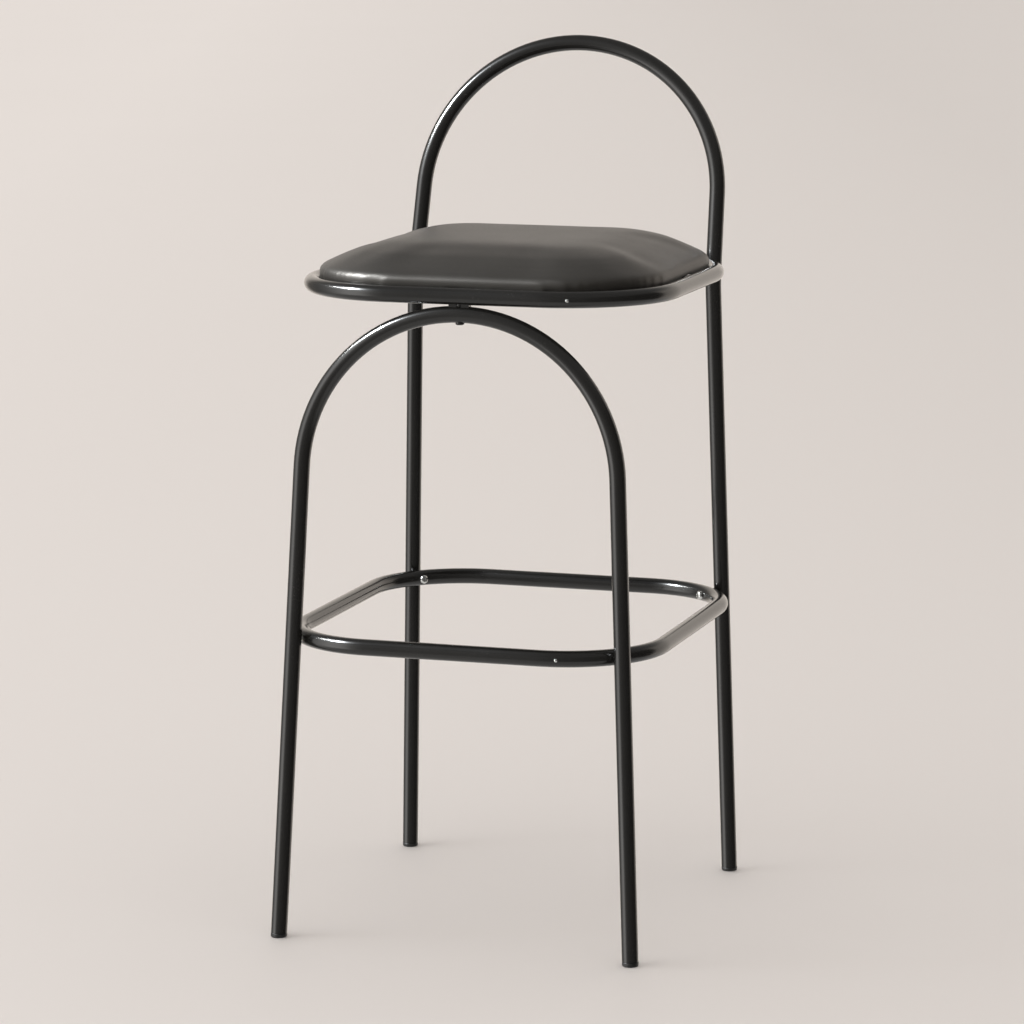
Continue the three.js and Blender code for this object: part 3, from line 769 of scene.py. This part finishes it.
for name, sign in SIDES:
    glide("front_" + name, front_foot, front_down, sign)
    glide("back_" + name, back_foot, back_down, sign)

# ---------------------------------------------------------------- seat fixings

TAB_SIDES = {"front": (0, -1, 0), "back": (0, 1, 0), "left": (-1, 0, 0), "right": (1, 0, 0)}
TAB_SLOPE = 0.0021  # how much further the ring lies away under the tab's top
BEAD_RIPPLES = 14
T_NUT_FLANGE = 0.0012


def tab_frame(side):
    """The way out from the seat's middle to a tab's ring end, and the tab's box."""
    low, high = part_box("seat_tab_" + side)
    return Vector(TAB_SIDES[side]), low, high


def screw_hole(side):
    """The screw's axis, on the floor."""
    low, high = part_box("seat_screw_" + side)
    return Vector(((low.x + high.x) / 2, (low.y + high.y) / 2, 0))


def seat_tab(side):
    """A steel plate from the ring's inside, with a rounded free end and a screw hole."""
    out, low, high = tab_frame(side)
    tab = block("seat_tab_" + side + "_plate", low, high)
    ring_end = max(out.dot(low), out.dot(high))
    select_where(tab, "verts", lambda v: out.dot(v.co) > ring_end - 1e-4 and v.co.z < low.z + 1e-4)
    bpy.ops.transform.translate(value=-out * TAB_SLOPE)
    select_where(tab, "edges", lambda e: upright(e) and out.dot(e.verts[0].co) < ring_end - 0.01)
    bpy.ops.mesh.bevel(offset=0.006, segments=8, affect="EDGES")
    bpy.ops.object.mode_set(mode="OBJECT")
    cut_away(tab, drill(screw_hole(side) + UP * low.z, UP, BOLT_HOLE_RADIUS, 0.01, back=0.005))
    add_modifier(tab, "BEVEL", width=0.0003, segments=2, limit_method="ANGLE", angle_limit=math.radians(40))
    done(tab, PAINT, "seat_tab_" + side)


def weld_bead(at, along, length, radius):
    """A row of ripples laid down along a joint."""
    outline = [(radius * 0.3, -length / 2)]
    for i in range(BEAD_RIPPLES * 4 + 1):
        share = i / (BEAD_RIPPLES * 4)
        swell = 0.9 + 0.12 * abs(math.sin(math.pi * BEAD_RIPPLES * share)) + 0.03 * math.sin(9 * share)
        outline.append((radius * swell, length * (share - 0.5) * 0.96))
    outline.append((radius * 0.3, length / 2))
    bead = turned("weld_bead", outline, sides=12)
    aim(bead, at, along)
    return bead


beads = []
for side in TAB_SIDES:
    out, low, high = tab_frame(side)
    seat_tab(side)
    middle = (low + high) / 2
    ring_end = max(out.dot(low), out.dot(high))
    along = UP.cross(out)
    width = abs(along.dot(high - low)) - 0.001
    for height, inwards in ((high.z + 0.0001, 0.0002), (low.z - 0.0001, TAB_SLOPE + 0.0002)):
        at = middle + out * (ring_end - out.dot(middle) - inwards)
        at.z = height
        beads.append(weld_bead(at, along, width, 0.0013))
done(join("tab_weld_beads", beads), PAINT)

screw = socket_screw("seat_screw", SCREW_LENGTH, SCREW_HEAD_RADIUS, SCREW_HEAD_HEIGHT)
barrel = [(0.0038, -0.0098), (0.0039, -0.0096), (0.0039, 0)]
flange = [(0.0083, 0), (0.0085, 0.0002), (0.0085, 0.001), (0.0083, T_NUT_FLANGE)]
t_nut = turned("t_nut", barrel + flange)
cut_away(t_nut, cylinder("thread", THREAD_RADIUS, 0.03, base=(0, 0, -0.015)))
for side in TAB_SIDES:
    hole = screw_hole(side)
    made = copy_of(screw, f"seat_screw_{side}_button")
    aim(made, hole + UP * (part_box("seat_screw_" + side)[1].z - SCREW_LENGTH), UP)
    done(made, ZINC, "seat_screw_" + side)
    made = copy_of(t_nut, f"seat_t_nut_{side}_flanged")
    aim(made, hole + UP * (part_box("seat_t_nut_" + side)[1].z - T_NUT_FLANGE), UP)
    done(made, ZINC, "seat_t_nut_" + side)
for pattern in (screw, t_nut):
    bpy.data.objects.remove(pattern)

# ---------------------------------------------------------------- seat board and dust cloth

T_NUT_HOLE_RADIUS = 0.0042
T_NUT_SINK = 0.0015
T_NUT_SINK_RADIUS = 0.0088
CLOTH_SAG = 0.0022
STAPLE_INSET = 0.006  # from the cloth's edge
STAPLE_COUNT = 44  # all the way round, before those at the tabs are left out
STAPLE_TAB_GAP = 0.022  # from a tab's middle

PAD_INSET = TUBE_RADIUS + 0.001  # ring's centreline to the pad's side
PAD_CORNER = SEAT_RING_CORNER - PAD_INSET
pad_low, pad_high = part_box("seat_cover")
pad_middle = Vector(((pad_low.x + pad_high.x) / 2, (pad_low.y + pad_high.y) / 2, 0))


def slab(name, node, segments=24):
    """A level plate in a node's box, rounded like the seat."""
    low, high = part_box(node)
    made = block(name, low, high)
    corner = PAD_CORNER - (low.x - pad_low.x)
    select_where(made, "edges", upright)
    bpy.ops.mesh.bevel(offset=corner, segments=segments, affect="EDGES")
    bpy.ops.object.mode_set(mode="OBJECT")
    return made


def seat_distance(x, y):
    """How far a point lies inside the pad's side."""
    across = abs(x - pad_middle.x) - ((pad_high.x - pad_low.x) / 2 - PAD_CORNER)
    along = abs(y - pad_middle.y) - ((pad_high.y - pad_low.y) / 2 - PAD_CORNER)
    return PAD_CORNER - math.hypot(max(across, 0), max(along, 0)) - min(max(across, along), 0)


def plywood_board():
    """The board, with a hole and a sunk seat for each T-nut."""
    board = slab("seat_board_ply", "seat_board")
    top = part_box("seat_board")[1].z
    for side in TAB_SIDES:
        hole = screw_hole(side)
        cut_away(board, drill(hole + UP * top, UP, T_NUT_HOLE_RADIUS, 0.01, back=0.02))
        cut_away(board, drill(hole + UP * (top - T_NUT_SINK), UP, T_NUT_SINK_RADIUS, 0.01))
    add_modifier(board, "BEVEL", width=0.0008, segments=2, limit_method="ANGLE", angle_limit=math.radians(50))
    done(board, PLY, "seat_board")


def dust_cloth():
    """A thin cloth stapled under the board, with a turned edge, that sags a little between its staples."""
    low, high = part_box("seat_dust_cloth")
    cloth = slab("seat_dust_cloth_sheet", "seat_dust_cloth", segments=20)
    for level in (low.z, high.z):
        select_where(cloth, "faces", face_at(level))
        for step in (0.004, 0.004, 0.006, 0.012, 0.016, 0.018, 0.018, 0.018):
            bpy.ops.mesh.inset(thickness=step)
    bpy.ops.object.mode_set(mode="OBJECT")
    edge = low.x - pad_low.x
    for v in cloth.data.vertices:
        inside = seat_distance(v.co.x, v.co.y) - edge
        turn = math.atan2(v.co.y - pad_middle.y, v.co.x - pad_middle.x)
        free = clamped((inside - 0.04) / 0.05)
        v.co.z -= CLOTH_SAG * free * free * (3 - 2 * free)
        if 0.003 < inside < 0.02:
            v.co.z += 0.00012 * math.sin(turn * 34)
    for side in TAB_SIDES:
        cut_away(cloth, drill(screw_hole(side) + UP * low.z, UP, BOLT_HOLE_RADIUS, 0.01, back=0.01))
    done(cloth, DUST_CLOTH, "seat_dust_cloth")


def staples():
    """A row of wire staples that hold the cloth's edge, none of them under a tab."""
    low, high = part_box("seat_dust_cloth")
    inset = low.x - pad_low.x + STAPLE_INSET
    half_x, half_y = (pad_high.x - pad_low.x) / 2 - inset, (pad_high.y - pad_low.y) / 2 - inset
    corner = PAD_CORNER - inset
    straights = (2 * (half_y - corner), 2 * (half_x - corner)) * 2
    quarter = math.pi / 2 * corner
    total = sum(straights) + 4 * quarter
    random.seed(5)
    places = []
    for i in range(STAPLE_COUNT):
        s = total * (i + 0.5) / STAPLE_COUNT + random.uniform(-0.002, 0.002)
        at, turn = Vector((half_x, corner - half_y, 0)), math.pi / 2
        for straight in straights:
            step = min(s, straight)
            at += Vector((math.cos(turn), math.sin(turn), 0)) * step
            s -= step
            if s <= 0:
                break
            arc = min(s, quarter) / corner
            centre = at + Vector((-math.sin(turn), math.cos(turn), 0)) * corner
            at = centre + Matrix.Rotation(arc, 3, "Z") @ (at - centre)
            turn += arc
            s -= arc * corner
            if s <= 1e-9:
                break
        places.append((pad_middle + at, turn + random.uniform(-0.12, 0.12)))
    made = []
    wire = block("staple", (-0.005, -0.00035, -0.0002), (0.005, 0.00035, 0.0009))
    select_where(wire, "edges", lambda e: abs(e.verts[0].co.y - e.verts[1].co.y) > 1e-5)
    bpy.ops.mesh.bevel(offset=0.0003, segments=2, affect="EDGES")
    bpy.ops.object.mode_set(mode="OBJECT")
    for at, turn in places:
        if min(abs(at.x), abs(at.y - pad_middle.y)) <= STAPLE_TAB_GAP:
            continue
        staple = copy_of(wire, "staple")
        staple.matrix_world = Matrix.Translation(at + UP * (low.z - 0.0002)) @ Matrix.Rotation(turn, 4, "Z")
        take(staple)
        bpy.ops.object.transform_apply(location=True, rotation=True, scale=True)
        made.append(staple)
    bpy.data.objects.remove(wire)
    done(join("dust_cloth_staples", made), ZINC)


plywood_board()
dust_cloth()
staples()

# ---------------------------------------------------------------- seat pad

PAD_SKIRT = 0.0078  # the height of its upright side
PAD_ROLL = 0.006  # the radius between its side and its slope
PAD_SLOPE = math.radians(29)
PAD_PLATEAU = 0.037  # the height of its flat top
PAD_SOFTNESS = 0.004  # how softly the slope runs into the top
PAD_FULLNESS = 0.0028  # how much further out than its CAD node its side stands
PAD_SPARE = 0.003  # how much deeper it is made, before its underside is pressed level
PAD_TERRACES = [  # how far in from its side the unfilled pad's surface has an edge
    0, 0.0006, 0.0014, 0.0026, 0.004, 0.007, 0.011, 0.016, 0.022, 0.028,
    0.034, 0.04, 0.045, 0.05, 0.055, 0.06, 0.066, 0.074, 0.084, 0.096,
]
VOXEL = 0.005
FILL_PRESSURE = 4
FILL_FRAMES = 20
HELD_HEIGHT = 0.006  # below this the cover doesn't swell
HELD_FADE = 0.01
SWELL_LIMIT = 0.006
WELT_DEPTH = 0.003  # how far the cover's edge hangs down inside the ring, between the tabs
WELT_WIDTH = 0.004
HEM = 0.022  # how wide the cover's edge is turned in under the board
GATHER_HEIGHT = 0.0006  # of the small folds in the hem round a corner
COVER_THICKNESS = 0.0012


def pad_rise(inside):
    """The height of the unfilled pad's surface, this far in from its side."""
    shoulder = PAD_ROLL * (1 - math.sin(PAD_SLOPE))
    if inside < shoulder:
        slope = PAD_SKIRT + math.sqrt(max(PAD_ROLL**2 - (PAD_ROLL - inside) ** 2, 0))
    else:
        slope = PAD_SKIRT + PAD_ROLL * math.cos(PAD_SLOPE) + (inside - shoulder) * math.tan(PAD_SLOPE)
    return -PAD_SOFTNESS * math.log(math.exp(-slope / PAD_SOFTNESS) + math.exp(-PAD_PLATEAU / PAD_SOFTNESS))


def unfilled_pad():
    """The pad's outline, stepped up to its top in terraces, as one even mesh."""
    out = Vector((PAD_FULLNESS, PAD_FULLNESS, PAD_SPARE))
    top = Vector((pad_high.x, pad_high.y, pad_low.z + pad_rise(0)))
    pad = block("seat_cover_leather", pad_low - out, top + out * Vector((1, 1, 0)))
    select_where(pad, "edges", upright)
    bpy.ops.mesh.bevel(offset=PAD_CORNER + PAD_FULLNESS, segments=28, affect="EDGES")
    select_where(pad, "faces", face_at(pad_low.z + pad_rise(0)))
    for before, after in zip(PAD_TERRACES, PAD_TERRACES[1:]):
        bpy.ops.mesh.inset(thickness=after - before, depth=pad_rise(after) - pad_rise(before))
    bpy.ops.object.mode_set(mode="OBJECT")
    add_modifier(pad, "REMESH", mode="VOXEL", voxel_size=VOXEL)
    return pad


def evened(pad, moves, passes=14):
    """Shares each point's move with the points beside it, so that the leather stays unpleated."""
    beside = [[] for _ in moves]
    for edge in pad.data.edges:
        a, b = edge.vertices
        beside[a].append(b)
        beside[b].append(a)
    for _ in range(passes):
        moves = [
            (move + sum((moves[i] for i in near), Vector())) / (len(near) + 1)
            for move, near in zip(moves, beside)
        ]
    return moves


def fill(pad):
    """Blows the cover out over its foam: the top and slopes swell, the side and underside stay put."""
    before = [v.co.copy() for v in pad.data.vertices]
    held = pad.vertex_groups.new(name="held")
    for i, co in enumerate(before):
        height = co.z - pad_low.z
        held.add([i], 1 - clamped((height - HELD_HEIGHT) / HELD_FADE), "REPLACE")
    take(pad)
    bpy.ops.object.modifier_add(type="CLOTH")
    cloth = pad.modifiers[-1]
    cloth.settings.use_pressure = True
    cloth.settings.uniform_pressure_force = FILL_PRESSURE
    cloth.settings.effector_weights.gravity = 0
    cloth.settings.vertex_group_mass = "held"
    cloth.settings.quality = 5
    cloth.point_cache.frame_start = 1
    cloth.point_cache.frame_end = FILL_FRAMES
    scene = bpy.context.scene
    for step in range(1, FILL_FRAMES + 1):
        scene.frame_set(step)
    bpy.ops.object.modifier_apply(modifier=cloth.name)
    scene.frame_set(1)
    moves = evened(pad, [v.co - co for v, co in zip(pad.data.vertices, before)])
    for v, co, move in zip(pad.data.vertices, before, moves):
        if move.length > 1e-9:
            v.co = co + move * (SWELL_LIMIT * math.tanh(move.length / SWELL_LIMIT) / move.length)
    pad.vertex_groups.clear()


def under_board(face):
    """A test for the underside's faces that the hem doesn't reach."""
    return face.normal.z < -0.8 and seat_distance(*face.calc_center_median().xy) > HEM


def shape_hem(pad):
    """Hangs the cover's edge inside the ring, clear of the tabs, and gathers the hem round the corners."""
    for v in pad.data.vertices:
        if v.co.z > pad_low.z + 0.0005:
            continue
        across, along = abs(v.co.x - pad_middle.x), abs(v.co.y - pad_middle.y)
        inside = seat_distance(v.co.x, v.co.y) + PAD_FULLNESS
        past_tab = clamped((min(across, along) - 0.017) / 0.006)
        v.co.z -= WELT_DEPTH * past_tab * clamped(1 - (inside - 0.0015) / WELT_WIDTH)
        if min(across, along) > 0.1 and inside > WELT_WIDTH:
            gather = abs(math.sin(math.atan2(along - 0.09, across - 0.09) * 14))
            v.co.z += GATHER_HEIGHT * gather * min((inside - WELT_WIDTH) / 0.008, 1)


def seat_pad():
    """The leather cover with its hem under the board, and the foam that fills it."""
    pad = unfilled_pad()
    fill(pad)
    add_modifier(pad, "SMOOTH", factor=0.5, iterations=4)
    add_modifier(pad, "SUBSURF", levels=1, render_levels=1)
    foam = copy_of(pad, "seat_foam_block")
    for v in pad.data.vertices:
        v.co.z = max(v.co.z, pad_low.z)
    outward(pad, merge=0.0007)  # the points that were pressed close together
    select_where(pad, "faces", under_board)
    bpy.ops.mesh.delete(type="FACE")
    bpy.ops.object.mode_set(mode="OBJECT")
    shape_hem(pad)
    add_modifier(pad, "SOLIDIFY", thickness=COVER_THICKNESS, offset=-1)
    done(pad, LEATHER, "seat_cover")

    add_modifier(foam, "DISPLACE", strength=-COVER_THICKNESS - TOUCH_GAP, mid_level=0)
    cut_level(foam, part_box("seat_foam")[0].z)
    outward(foam)
    done(foam, FOAM, "seat_foam")


seat_pad()

# ---------------------------------------------------------------- floor, light and camera


def floor():
    """A plain pale floor, with painted shade that darkens it a little to the right and behind."""
    deselect()
    bpy.ops.mesh.primitive_plane_add(size=120)
    plane = started("studio_floor")
    pale = Finish("pale_floor")
    cloudy = pale.noise(0.7, detail=2)
    # painted fall-off of the light: the floor's colour darkens towards the right and the back
    painted_falloff = pale.ramp((pale.axis("X") * 0.95 + pale.axis("Y") * 0.3) * 0.3 + 0.5, (0.0, 0), (1.0, 1))
    colour = pale.blend(painted_falloff, (0.835, 0.80, 0.778), (0.69, 0.66, 0.64))
    colour = pale.blend(cloudy * 0.15, colour, (0.74, 0.705, 0.68))
    matt = pale.surface({"Base Color": colour, "Roughness": 0.65, "Specular IOR Level": 0.2})
    plane.data.materials.append(matt)
    plane.visible_glossy = False


BRIGHTEST = 2.8  # what the world's colours are multiplied by
LAMP_DISTANCE = 3.2
LAMP_AIM = 0.5  # the height that the lamps point at


def lamp(kind, name, azimuth, elevation, distance, power, tint):
    """A light round the stool; azimuth 0 is in front and positive to the right."""
    a, e = math.radians(azimuth), math.radians(elevation)
    out = Vector((math.sin(a) * math.cos(e), -math.cos(a) * math.cos(e), math.sin(e)))
    at = out * distance + UP * LAMP_AIM
    bpy.ops.object.light_add(type=kind, location=at, rotation=(-out).to_track_quat("-Z", "Y").to_euler())
    made = bpy.context.object
    made.name = name
    made.data.energy = power
    made.data.color = tint
    return made


def soft_fill(name, power, shadow):
    """A very wide light that lifts the floor and the stool but isn't seen in the gloss."""
    fill_light = lamp("SUN", name, -60, 62, 6, power, (1, 0.96, 0.935))
    fill_light.data.angle = math.radians(150)
    fill_light.data.use_shadow = shadow
    fill_light.visible_glossy = False


def softbox(name, azimuth, elevation, width, height, power, tint):
    """A lamp that is seen only in the gloss, as a highlight."""
    box = lamp("AREA", name, azimuth, elevation, LAMP_DISTANCE, power, tint)
    box.data.shape = "RECTANGLE"
    box.data.size = width
    box.data.size_y = height
    box.visible_diffuse = False


class Surroundings(Finish):
    """The studio round the stool: a bright backdrop and left side, a dim room in front and to the right."""

    def __init__(self):
        self.material = bpy.data.worlds.new("studio")
        self.material.use_nodes = True
        self.tree = self.material.node_tree
        self.tree.nodes.clear()
        self.place = self.node("ShaderNodeTexCoord", {}, {}, "Generated")
        bpy.context.scene.world = self.material

    def all_round(self, *panels):
        """The colour at each azimuth from -180 to 180 degrees, 0 in front and positive to the right."""
        forwards = self.axis("Y") * -1
        turn = self.node("ShaderNodeMath", {"operation": "ARCTAN2"}, {0: self.axis("X"), 1: forwards})
        stops = [
            ((azimuth + 180) / 360, tuple(channel * brightness / BRIGHTEST for channel in tint))
            for azimuth, brightness, tint in panels
        ]
        return self.ramp(turn * (0.5 / math.pi) + 0.5, *stops)

    def between(self, value, low, high):
        """0 below low, 1 above high, smooth in between."""
        inputs = {"Value": value, "From Min": low, "From Max": high, "To Min": 0.0, "To Max": 1.0}
        return self.node("ShaderNodeMapRange", {"interpolation_type": "SMOOTHSTEP"}, inputs)

    def light(self, colour):
        """Lights the world with a colour whose 1 stands for the brightest."""
        backdrop = self.node("ShaderNodeBackground", {}, {"Color": colour, "Strength": BRIGHTEST})
        self.node("ShaderNodeOutputWorld", {}, {"Surface": backdrop})


def studio_light():
    """The room, two soft fills, and two lamps for the highlights on the tubes and the pad."""
    room = Surroundings()
    height = room.axis("Z")
    over = room.between(height, math.sin(math.radians(20)), math.sin(math.radians(42)))
    under = 1 - room.between(height, math.sin(math.radians(-38)), math.sin(math.radians(-22)))
    warm, plain = (1, 0.91, 0.82), (1, 0.98, 0.95)
    panels = room.all_round(
        (-180, 1, warm), (-142, 1, warm), (-126, 0.25, warm), (-104, 0.3, plain), (-90, 0.6, plain),
        (-76, 1.3, plain), (-60, 2.4, plain), (-44, 2.3, plain), (-33, 0.9, plain), (-20, 0.4, plain),
        (-8, 0.3, plain), (17, 0.2, plain), (64, 0.1, plain), (121, 0.04, plain),
        (128, 1, warm), (180, 1, warm),
    )
    floor_glow = tuple(channel * 0.65 / BRIGHTEST for channel in plain)
    ceiling = tuple(channel * 0.25 / BRIGHTEST for channel in plain)
    room.light(room.blend(under, room.blend(over, panels, ceiling), floor_glow))
    soft_fill("overhead_fill", 0.38, shadow=True)
    soft_fill("bounced_fill", 1.78, shadow=False)
    softbox("key_softbox", -66, 40, 0.3, 0.3, 330, (0.97, 1, 1.03))
    softbox("strip_softbox", -82, 33, 0.5, 0.05, 14, (1, 1, 0.97))


def place_camera():
    at = Vector((1.5090, -4.81543, 1.31688))
    target = Vector((0.01058, -0.05673, 0.47824))
    bpy.ops.object.camera_add(location=at, rotation=(target - at).to_track_quat("-Z", "Y").to_euler())
    camera = bpy.context.object
    camera.data.lens = 152.6
    camera.data.sensor_width = 36
    bpy.context.scene.camera = camera


bpy.context.scene.view_settings.view_transform = "Standard"
floor()
studio_light()
place_camera()

bpy.context.view_layer.update()
